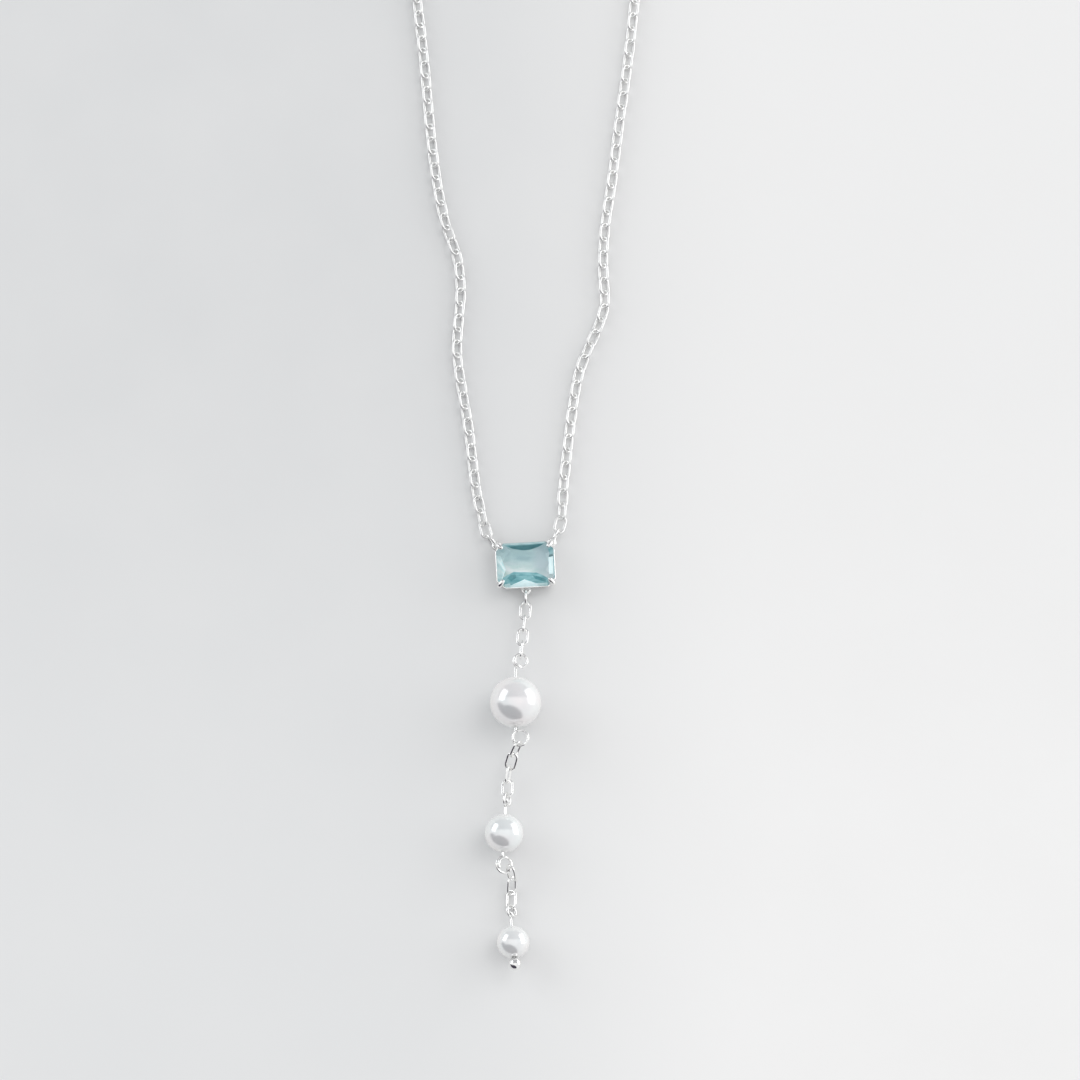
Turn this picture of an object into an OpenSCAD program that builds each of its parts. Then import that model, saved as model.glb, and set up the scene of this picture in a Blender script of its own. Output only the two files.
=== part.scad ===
// Y necklace laid on a flat surface: an oblong aqua stone in a four-claw setting,
// a closed loop of cable chain with a plain barrel clasp at the back, and a drop
// of three round pearls on wire pins joined by short lengths of the same chain.
// Millimetres, +Z up, the surface at z = 0. The origin is on the surface, under the
// middle of the whole outline; +Y runs up to the neck and the drop hangs to -Y.

/* [Chain] */
// Length once round the necklace, through the stone and the clasp
necklace_length = 430; // [400:10:480]
// Outer length of a link
link_length = 3.2; // [3.1:0.05:3.3]
// Outer width of a link
link_width = 1.95; // [1.9:0.05:2.1]
// Wire thickness of a link
link_wire = 0.41; // [0.36:0.01:0.42]
// Least gap between the wires of two hooked links
link_gap = 0.14; // [0.12:0.01:0.16]
// Lean of the links, to the left and to the right by turns
link_lean = 38; // [36:1:42]
// Share of the full stretch that the left strand is pulled to
left_stretch = 0.95; // [0.93:0.01:0.99]
// Share of the full stretch that the right strand is pulled to
right_stretch = 0.985; // [0.94:0.005:0.99]
// Outward lean of the strands above the part that the neckline shows
back_lean = 6.5; // [5:0.5:8]

/* [Stone] */
// Length of the stone
stone_length = 9; // [8.8:0.1:9.2]
// Width of the stone
stone_width = 7; // [6.8:0.1:7.2]
// Cut of each corner, along both sides
stone_corner = 1.2; // [1.1:0.05:1.4]
// Height of the girdle's upper edge above the surface
girdle_z = 3.1; // [3:0.05:3.3]
// Height of the crown above the girdle
crown_height = 0.9; // [0.8:0.05:1]
// Turn of the stone and its setting in the plane
stone_turn = 3; // [0:1:5]

/* [Setting] */
// Height of the lower frame
frame_height = 1.8; // [1.7:0.05:1.9]
// Wall thickness of the lower frame
frame_wall = 0.6; // [0.5:0.05:0.65]
// Width of the rail under the girdle
rail_wall = 0.45; // [0.4:0.05:0.55]
// Thickness of a claw
claw_wire = 0.76; // [0.7:0.02:0.8]

/* [Rings and pins] */
// Outer diameter of a jump ring
ring_outer = 2.9; // [2.8:0.05:3]
// Wire thickness of the jump rings
ring_wire = 0.42; // [0.38:0.01:0.42]
// Wire thickness of the pearl pins
pin_wire = 0.42; // [0.38:0.01:0.42]
// Diameter of the ball that ends the last pin
ball_size = 2; // [1.8:0.1:2.2]

/* [Pearls] */
// Diameter of the first pearl
pearl_large_size = 8; // [7.8:0.1:8.2]
// Diameter of the second pearl
pearl_middle_size = 6; // [5.8:0.1:6.2]
// Diameter of the third pearl
pearl_small_size = 5; // [4.8:0.1:5.2]
// Diameter of the hole through a pearl
pearl_hole = 0.8; // [0.7:0.05:1]

/* [Clasp] */
// Length of the barrel without its two eyes
barrel_length = 6; // [5:0.5:8]
// Diameter of the barrel
barrel_size = 1.5; // [1.3:0.1:1.5]

/* [Hidden] */

// Sides of a wire's round section, of a bend in it, and of a pearl
WIRE_FN = 32;
BEND_FN = 48;
PEARL_FN = 96;
SILVER = "gainsboro";
PEARL = "ivory";
AQUA = "skyblue";

// Two hooked wires stay this far from the joint between them, link by link
hook = (link_wire + link_gap) / 2;
link_pitch = link_length - 2 * link_wire - link_gap;
// The drop's links lie looser than full stretch
drop_pitch = 0.99 * link_pitch;
// Most that a link's lean differs from the usual one, and a little more for its height
lean_play = 3;
steepest_lean = link_lean + lean_play + 1;
chain_z = ((link_width - link_wire) * sin(steepest_lean) + link_wire) / 2;
ring_radius = (ring_outer - ring_wire) / 2;
// A pin's straight stretch is drawn a little thinner than its eyes
stem_wire = 0.95 * pin_wire;

// The stone's outlines, from the table down to the keel
girdle_thickness = 0.2;
table_z = girdle_z + crown_height;
girdle_low = girdle_z - girdle_thickness;
// Each outline's shares of the stone's length, width and corner cut, and its height
STONE_OUTLINES = [
    [0.7, 0.62, 0.8, table_z],
    [1, 1, 1, girdle_z],
    [1, 1, 1, girdle_low],
    [0.66, 0.6, 0.9, girdle_low - 1.25],
    [0.36, 0.3, 0.4, girdle_low - 2]
];
// Points that stand out over the middles of the sides: shares of length and width, height
STONE_PEAKS = [
    [0.82, 0.74, table_z - 0.21],
    [0.76, 0.7, girdle_low - 1.2],
    [0.2, 0, girdle_low - 2.4]
];

// Places of the setting, in its own unturned frame
frame_length = stone_length - 0.6;
frame_width = stone_width - 0.4;
rail_margin = 0.15;
rail_z = 2.1;
rail_height = 0.4;
claw_foot = [stone_length / 2 - 0.75, stone_width / 2 - 0.75, 0.4];
claw_gap = 0.12;
claw_stand = (claw_wire / 2 + claw_gap) * sin(45);
claw_girdle = [
    (stone_length - stone_corner) / 2 + claw_stand,
    (stone_width - stone_corner) / 2 + claw_stand,
    girdle_z + 0.15
];
claw_tip_wire = 0.66;
// A claw's ends and its bend are balls, a little thicker than its wire
ball_share = 1.06;
claw_tip = claw_girdle + [-0.6, -0.6, 0.62];
loop_wire = 0.4;
loop_radius = 0.55;
loop_z = ring_outer / 2;
loop_stand = 0.7;
loop_angle_left = 129;
loop_angle_right = 59;
drop_loop_x = -0.1;
drop_loop_y = -frame_width / 2 - 0.5;

function along(a, b, t) = a + (b - a) * t;
function plan(angle) = [cos(angle), sin(angle), 0];
function mirrored(v) = [-v.x, v.y, v.z];
function turned(v, angle) = [
    v.x * cos(angle) - v.y * sin(angle),
    v.x * sin(angle) + v.y * cos(angle),
    v.z
];

claw_rise = (loop_z - claw_foot.z) / (claw_girdle.z - claw_foot.z);
claw_at_loop = along(claw_foot, claw_girdle, claw_rise);
loop_left = mirrored(claw_at_loop) + loop_stand * plan(loop_angle_left);
loop_right = claw_at_loop + loop_stand * plan(loop_angle_right);
loop_drop = [drop_loop_x, drop_loop_y, loop_z];

// Jump rings stand on edge: each runs from a loop of the setting to a joint
ring_angle_left = loop_angle_left + stone_turn;
ring_angle_right = loop_angle_right + stone_turn;
ring_angle_drop = -92;
ring_left = turned(loop_left, stone_turn) + ring_radius * plan(ring_angle_left);
ring_right = turned(loop_right, stone_turn) + ring_radius * plan(ring_angle_right);
ring_drop = turned(loop_drop, stone_turn) + ring_radius * plan(ring_angle_drop);
joint_left = ring_left + (ring_radius - hook) * plan(ring_angle_left);
joint_right = ring_right + (ring_radius - hook) * plan(ring_angle_right);
joint_drop = ring_drop + (ring_radius - hook) * plan(ring_angle_drop);

// Route of the left strand as it lies: x, y
LEFT_ROUTE = [
    [-7.0, 8.6], [-7.9, 13.2], [-8.9, 21.5], [-9.7, 26.5], [-10.4, 30.6],
    [-10.9, 35.0], [-10.6, 40.0], [-10.3, 45.0], [-10.9, 50.2], [-12.6, 55.0],
    [-13.8, 60.3], [-14.7, 66.2], [-15.5, 73.6], [-16.3, 82.5], [-17.5, 92.8]
];
// Route of the right strand as it lies: x, y
RIGHT_ROUTE = [
    [5.7, 7.8], [5.9, 12.3], [6.5, 18.0], [7.2, 24.0], [8.4, 31.2],
    [10.0, 35.4], [11.5, 38.8], [12.6, 42.4], [12.4, 46.0], [12.3, 50.2],
    [12.7, 55.8], [13.7, 62.4], [14.9, 72.0], [16.4, 82.8], [17.5, 92.8]
];
ROUTE_STEPS = 4;
// Height of a strand at its jump ring, and the length over which it comes down
RING_JOINT_Z = 1.25;
SETTLE = 7;
// Turn of the first links away from their jump ring, which fades over a few links
RING_TURN = 25;
RING_TURN_LINKS = 3;

// Each drop link: swing from -Y towards +X, slope, lean about its own length
DROP_1 = [[-3, 8, 0], [-7, 13, 88], [-6, 15, 7], [-5, 16, 82]];
DROP_2 = [[-27, -34.5, 119], [-18, -33, 11], [-9, -9, 109], [0, 14, 9]];
DROP_3 = [[12, -41, 51], [-3, -24, -44], [-2, 4, 35]];

// Each pearl's pin: turn in the plane, then for its upper eye and its lower one
// the radius, distance from the pearl's middle, sideways shift and lean
PIN_LARGE = [0, 1.05, 6.6, 0.75, 0, 1.24, 5.65, 0.75, -12];
PIN_MIDDLE = [-3, 1.05, 5.3, 0.4, 64, 1.26, 4.9, 0.3, 25];
PIN_SMALL = [5, 1.05, 5.1, 0.3, 54, 0, 0, 0, 0];
TURN = 0;
UPPER = 1;
LOWER = 5;
// Side on which the next link hooks the lower eye, from -Y towards +X
LARGE_EXIT = -16;
MIDDLE_EXIT = 70;

function heading(swing, slope) = [
    cos(slope) * sin(swing),
    -cos(slope) * cos(swing),
    sin(slope)
];

// Joints of a run of drop links, from its first joint on
function run(start, rows, i = 0) =
    i >= len(rows)
        ? [start]
        : concat([start], run(start + drop_pitch * heading(rows[i][0], rows[i][1]), rows, i + 1));

// A point of a pin's own frame, in the necklace's: the pin lies along its Y
function pin_to_world(v, tilt, turn) = turned(
    [v.x, v.y * cos(tilt) + v.z * sin(tilt), v.z * cos(tilt) - v.y * sin(tilt)], turn);
function eye_centre(pin, eye, side) = [
    pin[eye + 2] * cos(pin[eye + 3]),
    side * pin[eye + 1],
    -pin[eye + 2] * sin(pin[eye + 3])
];
// The joint that the upper eye hangs from
function eye_joint(pin) = eye_centre(pin, UPPER, 1) + [0, pin[UPPER] - hook, 0];
function pin_tilt(pin, size, joint) =
    asin((size / 2 - joint.z + eye_joint(pin).z) / eye_joint(pin).y);
function pearl_centre(pin, size, joint) =
    joint - pin_to_world(eye_joint(pin), pin_tilt(pin, size, joint), pin[TURN]);
// The joint at the lower eye, on the side that the next link hooks
function exit_joint(pin, centre, tilt, exit) = centre + pin_to_world(
    eye_centre(pin, LOWER, -1) + (pin[LOWER] - hook) * [sin(exit), -cos(exit), 0],
    tilt, pin[TURN]);

joints_1 = run(joint_drop, DROP_1);
tilt_large = pin_tilt(PIN_LARGE, pearl_large_size, joints_1[4]);
centre_large = pearl_centre(PIN_LARGE, pearl_large_size, joints_1[4]);
joints_2 = run(exit_joint(PIN_LARGE, centre_large, tilt_large, LARGE_EXIT), DROP_2);
tilt_middle = pin_tilt(PIN_MIDDLE, pearl_middle_size, joints_2[4]);
centre_middle = pearl_centre(PIN_MIDDLE, pearl_middle_size, joints_2[4]);
joints_3 = run(exit_joint(PIN_MIDDLE, centre_middle, tilt_middle, MIDDLE_EXIT), DROP_3);
tilt_small = pin_tilt(PIN_SMALL, pearl_small_size, joints_3[3]);
centre_small = pearl_centre(PIN_SMALL, pearl_small_size, joints_3[3]);

// A smooth curve through the points of a route, as many short steps
function curve_point(a, b, c, d, t) = 0.5 * (2 * b + (c - a) * t
    + (2 * a - 5 * b + 4 * c - d) * t * t + (3 * b - a - 3 * c + d) * t * t * t);
function smooth(route) = let (last = len(route) - 1) concat(
    [for (i = [0 : last - 1], k = [0 : ROUTE_STEPS - 1]) curve_point(
        route[max(i - 1, 0)], route[i], route[i + 1], route[min(i + 2, last)],
        k / ROUTE_STEPS)],
    [route[last]]);
function distances(route) = [
    for (i = 0, s = 0; i < len(route);
        s = s + (i + 1 < len(route) ? norm(route[i + 1] - route[i]) : 0), i = i + 1) s
];
function route_length(route) = let (s = distances(route)) s[len(s) - 1];

shown_left = smooth(concat([[joint_left.x, joint_left.y]], LEFT_ROUTE));
shown_right = smooth(concat([[joint_right.x, joint_right.y]], RIGHT_ROUTE));

// Plain way round the back: straight on, then one arc to the clasp
clasp_eye_radius = 0.83;
clasp_z = max(barrel_size / 2, clasp_eye_radius * sin(steepest_lean) + link_wire / 2);
clasp_eye_x = barrel_length / 2 + clasp_eye_radius - link_wire / 2;
clasp_joint_x = clasp_eye_x + clasp_eye_radius - hook;
route_end = RIGHT_ROUTE[len(RIGHT_ROUTE) - 1];
hidden_half = (necklace_length - norm(joint_right - joint_left) - 2 * clasp_joint_x
    - route_length(shown_left) - route_length(shown_right)) / 2;
arc_turn = (90 + back_lean) * PI / 180;
back_straight = (hidden_half + clasp_joint_x - route_end.x * arc_turn / cos(back_lean))
    / (1 + arc_turn * tan(back_lean));
back_radius = (route_end.x + back_straight * sin(back_lean)) / cos(back_lean);
back_centre_y = route_end.y + back_straight * cos(back_lean) + back_radius * sin(back_lean);
arc_end = 90 - asin(clasp_joint_x / back_radius);
clasp_y = back_centre_y + back_radius * sin(arc_end);
BACK_STEPS = 30;
function back(side) = [
    for (i = [0 : BACK_STEPS])
        let (angle = -back_lean + (arc_end + back_lean) * i / BACK_STEPS)
            [side * back_radius * cos(angle), back_centre_y + back_radius * sin(angle)]
];

// Joints of a strand, evenly spaced along its route
function strand_joints(route, stretch) =
    let (
        s = distances(route),
        count = ceil(s[len(s) - 1] / (link_pitch * stretch)),
        step = s[len(s) - 1] / count,
        xs = [for (i = [0 : len(s) - 1]) [s[i], route[i].x]],
        ys = [for (i = [0 : len(s) - 1]) [s[i], route[i].y]]
    )
    [for (i = [0 : count]) [
        lookup(i * step, xs),
        lookup(i * step, ys),
        chain_z + (RING_JOINT_Z - chain_z) * pow(max(0, 1 - i * step / SETTLE), 2)
    ]];

joints_left = strand_joints(concat(shown_left, back(-1)), left_stretch);
joints_right = strand_joints(concat(shown_right, back(1)), right_stretch);

// Links lean by turns, each a little differently
LEAN_STEP = 77;
function lean_at(i) = (i % 2 == 0 ? 1 : -1) * link_lean + lean_play * sin(i * LEAN_STEP)
    - RING_TURN * max(0, 1 - i / RING_TURN_LINKS);

// The outline's middle, between the clasp's eyes and the ball of the last pin
ball_gap = 0.05;
ball_y = -pearl_small_size / 2 - ball_size / 2 - ball_gap;
ball_centre = centre_small + pin_to_world([0, ball_y, 0], tilt_small, PIN_SMALL[TURN]);
top_y = clasp_y + clasp_eye_radius * cos(link_lean) + link_wire / 2;
middle_y = (top_y + ball_centre.y - ball_size / 2) / 2;

// The whole necklace is worked out from the stone and then moved to its middle
module laid() {
    translate([0, -middle_y, 0]) children();
}

module tube_between(a, b, thick) {
    d = b - a;
    translate(a)
        rotate([0, 90 - atan2(d.z, norm([d.x, d.y])), atan2(d.y, d.x)])
            cylinder(h = norm(d), d = thick, $fn = WIRE_FN);
}

module ball_at(p, size) {
    translate(p) sphere(d = size, $fn = WIRE_FN);
}

module wire_ring(radius, wire) {
    rotate_extrude($fn = BEND_FN)
        translate([radius, 0]) circle(d = wire, $fn = WIRE_FN);
}

// One link: two straight sides and two half-round ends, lying along X
module link() {
    bend = (link_width - link_wire) / 2;
    side = link_length - link_width;
    for (end = [0, 180])
        rotate([0, 0, end]) {
            translate([side / 2, 0, 0])
                rotate([0, 0, -90])
                    rotate_extrude(angle = 180, $fn = BEND_FN)
                        translate([bend, 0]) circle(d = link_wire, $fn = WIRE_FN);
            translate([-side / 2, bend, 0])
                rotate([0, 90, 0]) cylinder(h = side, d = link_wire, $fn = WIRE_FN);
        }
}

module link_between(a, b, lean) {
    d = b - a;
    translate((a + b) / 2)
        rotate([lean, -atan2(d.z, norm([d.x, d.y])), atan2(d.y, d.x)]) link();
}

module strand(joints) {
    color(SILVER)
        for (i = [0 : len(joints) - 2])
            link_between(joints[i], joints[i + 1], lean_at(i));
}

module drop_link(joints, rows, i) {
    color(SILVER) link_between(joints[i], joints[i + 1], rows[i][2]);
}

module jump_ring(centre, angle) {
    color(SILVER)
        translate(centre) rotate([0, 0, angle]) rotate([90, 0, 0])
            wire_ring(ring_radius, ring_wire);
}

// The eight corners of an oblong with cut corners, at one height
function cut_oblong(length, width, corner, z) =
    let (x = length / 2, y = width / 2)
    [
        [x, y - corner, z], [x - corner, y, z], [corner - x, y, z], [-x, y - corner, z],
        [-x, corner - y, z], [corner - x, -y, z], [x - corner, -y, z], [x, corner - y, z]
    ];
// The four points in the middle of the sides of an oblong, at one height
function side_middles(length, width, z) = [
    [length / 2, 0, z], [0, width / 2, z], [-length / 2, 0, z], [0, -width / 2, z]
];

module stone() {
    corners = concat(
        [for (o = STONE_OUTLINES) each cut_oblong(
            o[0] * stone_length, o[1] * stone_width, o[2] * stone_corner, o[3])],
        [for (p = STONE_PEAKS) each side_middles(p[0] * stone_length, p[1] * stone_width, p[2])]
    );
    color(AQUA)
        rotate([0, 0, stone_turn])
            hull() polyhedron(corners, [[for (i = [0 : len(corners) - 1]) i]]);
}

// A frame between two oblongs with cut corners
module cut_frame(length, width, corner, wall, height) {
    linear_extrude(height)
        difference() {
            polygon([for (p = cut_oblong(length, width, corner, 0)) [p.x, p.y]]);
            polygon([for (p = cut_oblong(
                length - 2 * wall, width - 2 * wall, corner - 0.6 * wall, 0)) [p.x, p.y]]);
        }
}

module claw() {
    tube_between(claw_foot, claw_girdle, claw_wire);
    ball_at(claw_foot, ball_share * claw_wire);
    ball_at(claw_girdle, ball_share * claw_wire);
    tube_between(claw_girdle, claw_tip, claw_tip_wire);
    ball_at(claw_tip, ball_share * claw_tip_wire);
}

module setting() {
    rail_length = stone_length + 2 * rail_margin;
    rail_width = stone_width + 2 * rail_margin;
    color(SILVER)
        rotate([0, 0, stone_turn]) {
            cut_frame(frame_length, frame_width, stone_corner, frame_wall, frame_height);
            translate([0, 0, rail_z])
                cut_frame(rail_length, rail_width, stone_corner, rail_wall, rail_height);
            for (mx = [0, 1], my = [0, 1])
                mirror([mx, 0, 0]) mirror([0, my, 0]) claw();
            for (p = [loop_left, loop_right, loop_drop])
                translate(p) wire_ring(loop_radius, loop_wire);
        }
}

module pearl(size, centre, tilt, turn) {
    color(PEARL)
        translate(centre) rotate([-tilt, 0, turn])
            difference() {
                sphere(d = size, $fn = PEARL_FN);
                rotate([90, 0, 0])
                    cylinder(h = size + 1, d = pearl_hole, center = true, $fn = WIRE_FN);
            }
}

// Where a pin's straight wire meets the round of one of its eyes
function eye_reach(pin, eye) = pin[eye + 1] - sqrt(pow(pin[eye], 2) - pow(pin[eye + 2], 2));

module pin_eye(pin, eye, side) {
    rotate([0, pin[eye + 3], 0])
        translate([pin[eye + 2], side * pin[eye + 1], 0])
            wire_ring(pin[eye], pin_wire);
}

module eye_pin(pin, centre, tilt) {
    color(SILVER)
        translate(centre) rotate([-tilt, 0, pin[TURN]]) {
            tube_between([0, -eye_reach(pin, LOWER), 0], [0, eye_reach(pin, UPPER), 0], stem_wire);
            pin_eye(pin, UPPER, 1);
            pin_eye(pin, LOWER, -1);
        }
}

module head_pin(pin, centre, tilt) {
    color(SILVER)
        translate(centre) rotate([-tilt, 0, pin[TURN]]) {
            tube_between([0, ball_y, 0], [0, eye_reach(pin, UPPER), 0], stem_wire);
            pin_eye(pin, UPPER, 1);
            ball_at([0, ball_y, 0], ball_size);
        }
}

module clasp() {
    color(SILVER)
        translate([0, clasp_y, clasp_z]) {
            translate([-barrel_length / 2, 0, 0])
                rotate([0, 90, 0]) cylinder(h = barrel_length, d = barrel_size, $fn = BEND_FN);
            translate([-clasp_eye_x, 0, 0])
                rotate([lean_at(len(joints_left) - 1), 0, 0]) wire_ring(clasp_eye_radius, link_wire);
            translate([clasp_eye_x, 0, 0])
                rotate([-lean_at(len(joints_right) - 1), 0, 0]) wire_ring(clasp_eye_radius, link_wire);
        }
}

laid() stone();
laid() setting();
laid() jump_ring(ring_left, ring_angle_left);  // jump_ring_left
laid() jump_ring(ring_right, ring_angle_right);  // jump_ring_right
laid() jump_ring(ring_drop, ring_angle_drop);  // jump_ring_drop
laid() strand(joints_left);  // chain_left
laid() strand(joints_right);  // chain_right
laid() clasp();
laid() drop_link(joints_1, DROP_1, 0);  // drop_link_1
laid() drop_link(joints_1, DROP_1, 1);  // drop_link_2
laid() drop_link(joints_1, DROP_1, 2);  // drop_link_3
laid() drop_link(joints_1, DROP_1, 3);  // drop_link_4
laid() pearl(pearl_large_size, centre_large, tilt_large, PIN_LARGE[TURN]);  // pearl_large
laid() eye_pin(PIN_LARGE, centre_large, tilt_large);  // eye_pin_large
laid() drop_link(joints_2, DROP_2, 0);  // drop_link_5
laid() drop_link(joints_2, DROP_2, 1);  // drop_link_6
laid() drop_link(joints_2, DROP_2, 2);  // drop_link_7
laid() drop_link(joints_2, DROP_2, 3);  // drop_link_8
laid() pearl(pearl_middle_size, centre_middle, tilt_middle, PIN_MIDDLE[TURN]);  // pearl_middle
laid() eye_pin(PIN_MIDDLE, centre_middle, tilt_middle);  // eye_pin_middle
laid() drop_link(joints_3, DROP_3, 0);  // drop_link_9
laid() drop_link(joints_3, DROP_3, 1);  // drop_link_10
laid() drop_link(joints_3, DROP_3, 2);  // drop_link_11
laid() pearl(pearl_small_size, centre_small, tilt_small, PIN_SMALL[TURN]);  // pearl_small
laid() head_pin(PIN_SMALL, centre_small, tilt_small);  // head_pin_small
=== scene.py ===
# A y necklace of silver chain, an aqua stone and three pearls, laid on a pale surface. Where each
# piece lies is read from the frame, and each is made again there with its finer shape.
import math

import bmesh
import bpy
import numpy as np
from mathutils import Matrix, Vector
from mathutils.geometry import delaunay_2d_cdt


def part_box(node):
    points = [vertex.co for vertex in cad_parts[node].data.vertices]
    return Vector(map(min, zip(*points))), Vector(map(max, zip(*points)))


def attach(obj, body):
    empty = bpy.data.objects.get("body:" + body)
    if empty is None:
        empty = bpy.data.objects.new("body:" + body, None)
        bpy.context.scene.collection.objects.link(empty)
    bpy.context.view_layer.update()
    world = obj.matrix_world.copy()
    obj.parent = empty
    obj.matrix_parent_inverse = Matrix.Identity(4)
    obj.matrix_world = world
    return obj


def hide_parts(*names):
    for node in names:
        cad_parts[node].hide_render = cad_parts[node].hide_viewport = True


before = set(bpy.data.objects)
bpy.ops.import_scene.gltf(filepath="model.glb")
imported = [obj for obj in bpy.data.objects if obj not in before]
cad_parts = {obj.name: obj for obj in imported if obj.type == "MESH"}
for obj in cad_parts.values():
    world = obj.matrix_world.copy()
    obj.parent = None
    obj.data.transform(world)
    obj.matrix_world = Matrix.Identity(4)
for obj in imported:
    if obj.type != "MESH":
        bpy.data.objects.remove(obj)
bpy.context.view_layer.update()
MM = 0.001

# Real sizes in millimetres, as the necklace is made
LINK_LENGTH, LINK_WIDTH, LINK_WIRE = 3.2, 1.95, 0.41
DROP_LINKS = 11
RING_OUTER, RING_WIRE = 2.9, 0.42
PIN_WIRE = 0.42
BALL_SIZE, BALL_GAP = 2.0, 0.05
PEARL_HOLE, PEARL_RIM = 0.8, 0.12
PEARL_SIZES = {"pearl_large": 8.0, "pearl_middle": 6.0, "pearl_small": 5.0}
PEARL_OF = {
    "eye_pin_large": "pearl_large",
    "eye_pin_middle": "pearl_middle",
    "head_pin_small": "pearl_small",
}
# Radius of each pin's upper and lower eye, and how far its wire runs on past the stem, in degrees
EYES = {
    "eye_pin_large": [(1.05, 78), (1.24, 85)],
    "eye_pin_middle": [(1.05, 60), (1.26, 105)],
    "head_pin_small": [(1.05, 40)],
}
STONE_LENGTH, STONE_WIDTH, STONE_CORNER = 9.0, 7.0, 1.2
STONE_TURN = math.radians(3)
GIRDLE_BOTTOM = 2.9

# Points on an axis lie a hair off it, and are merged
NEAR_AXIS = 1e-4
MERGED_WITHIN = 1e-7


# Small tools for shapes

def unit(v):
    v = np.asarray(v, float)
    return v / np.linalg.norm(v)


def smooth_path(points, rounds):
    """Cuts the corners of an open path, each round a little finer."""
    points = [np.asarray(p, float) for p in points]
    for _ in range(rounds):
        pairs = zip(points, points[1:])
        cut = [q for a, b in pairs for q in (0.75 * a + 0.25 * b, 0.25 * a + 0.75 * b)]
        points = [points[0]] + cut + [points[-1]]
    return points


def round_turn(steps):
    """Angles of a full turn, in radians."""
    return [2 * math.pi * k / steps for k in range(steps)]


class Shape:
    """Collects the vertices and faces of one piece, in millimetres, and makes its object."""

    def __init__(self):
        self.points = []
        self.faces = []
        self.layers = []

    def add(self, points, faces, layer=0):
        """Layer is the place of the faces' material in the list that make() gets."""
        start = len(self.points)
        self.points += [tuple(p) for p in points]
        self.faces += [tuple(start + i for i in face) for face in faces]
        self.layers += [layer] * len(faces)

    def wire(self, path, radius, up, closed=False, sides=12):
        """A round wire of one radius, or one for each point, along a path.

        On a closed path, up is the direction square to its plane. On an open one it is any
        direction that the path doesn't start in.
        """
        path = [np.asarray(p, float) for p in path]
        radii = list(radius) if hasattr(radius, "__len__") else [radius] * len(path)
        if not closed:
            path, radii = rounded_ends(path, radii)
        count = len(path)
        rings = []
        side = None
        for i in range(count):
            before = path[i - 1] if closed or i > 0 else path[0]
            after = path[(i + 1) % count] if closed or i < count - 1 else path[-1]
            along = unit(after - before)
            if closed or side is None:
                side = np.cross(up, along)
            side = unit(side - np.dot(side, along) * along)
            rise = np.cross(along, side)
            rings.append([
                path[i] + radii[i] * (math.cos(t) * side + math.sin(t) * rise)
                for t in round_turn(sides)
            ])
        points = [p for ring in rings for p in ring]
        last = count if closed else count - 1
        faces = [
            (i * sides + k, i * sides + (k + 1) % sides,
             (i + 1) % count * sides + (k + 1) % sides, (i + 1) % count * sides + k)
            for i in range(last) for k in range(sides)
        ]
        if not closed:
            faces += [tuple(reversed(range(sides))), tuple(range((count - 1) * sides, count * sides))]
        self.add(points, faces)

    def turned(self, profile, place, sides=64):
        """A profile of (distance from the axis, place along it) turned about the local Z of a matrix."""
        rings = [[
            place @ Vector((r * math.cos(t), r * math.sin(t), z))
            for t in round_turn(sides)
        ] for r, z in profile]
        points = [p for ring in rings for p in ring]
        faces = [
            (i * sides + k, i * sides + (k + 1) % sides,
             (i + 1) * sides + (k + 1) % sides, (i + 1) * sides + k)
            for i in range(len(profile) - 1) for k in range(sides)
        ]
        self.add(points, faces)

    def make(self, name, materials, node, smooth=True):
        """Makes the object that stands for a CAD node."""
        mesh = bpy.data.meshes.new(name)
        mesh.from_pydata([tuple(c * MM for c in p) for p in self.points], [], self.faces)
        mesh.update()
        for polygon, layer in zip(mesh.polygons, self.layers):
            polygon.material_index = layer
            polygon.use_smooth = smooth
        work = bmesh.new()
        work.from_mesh(mesh)
        bmesh.ops.remove_doubles(work, verts=work.verts, dist=MERGED_WITHIN)
        bmesh.ops.recalc_face_normals(work, faces=work.faces)
        work.to_mesh(mesh)
        work.free()
        piece = bpy.data.objects.new(name, mesh)
        bpy.context.scene.collection.objects.link(piece)
        for material in materials:
            mesh.materials.append(material)
        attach(piece, "root")
        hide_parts(node)


# How far each ring of a wire's tip stands out from its end, and its radius, in shares of the wire's
TIP_RINGS = [(0.45, 0.9), (0.8, 0.6), (0.95, 0.31)]


def rounded_ends(path, radii):
    """Adds a rounded tip to both ends of an open wire."""

    def tip(end, inner, radius):
        out = unit(end - inner)
        places = [end + out * radius * far for far, _ in TIP_RINGS]
        return places, [radius * share for _, share in TIP_RINGS]

    first, first_r = tip(path[0], path[1], radii[0])
    last, last_r = tip(path[-1], path[-2], radii[-1])
    return first[::-1] + path + last, first_r[::-1] + radii + last_r


# What the frame says about where each piece lies

def surface(node):
    """Middle, size of area and loose-part number of each triangle of a CAD node, in millimetres."""
    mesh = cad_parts[node].data
    mesh.calc_loop_triangles()
    points = np.zeros(len(mesh.vertices) * 3)
    mesh.vertices.foreach_get("co", points)
    points = points.reshape(-1, 3) / MM
    corners = np.zeros(len(mesh.loop_triangles) * 3, int)
    mesh.loop_triangles.foreach_get("vertices", corners)
    _, same = np.unique(np.round(points, 3), axis=0, return_inverse=True)
    same = same.reshape(-1)
    corners = corners.reshape(-1, 3)
    joined = same[corners]
    part = np.arange(same.max() + 1)
    while True:
        low = part[joined].min(axis=1)
        new = part.copy()
        for k in range(3):
            np.minimum.at(new, joined[:, k], low)
        new = new[new]
        if (new == part).all():
            break
        part = new
    triangle = points[corners]
    square = np.cross(triangle[:, 1] - triangle[:, 0], triangle[:, 2] - triangle[:, 0])
    area = np.linalg.norm(square, axis=1) / 2
    return triangle.mean(axis=1), area, part[joined[:, 0]]


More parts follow.
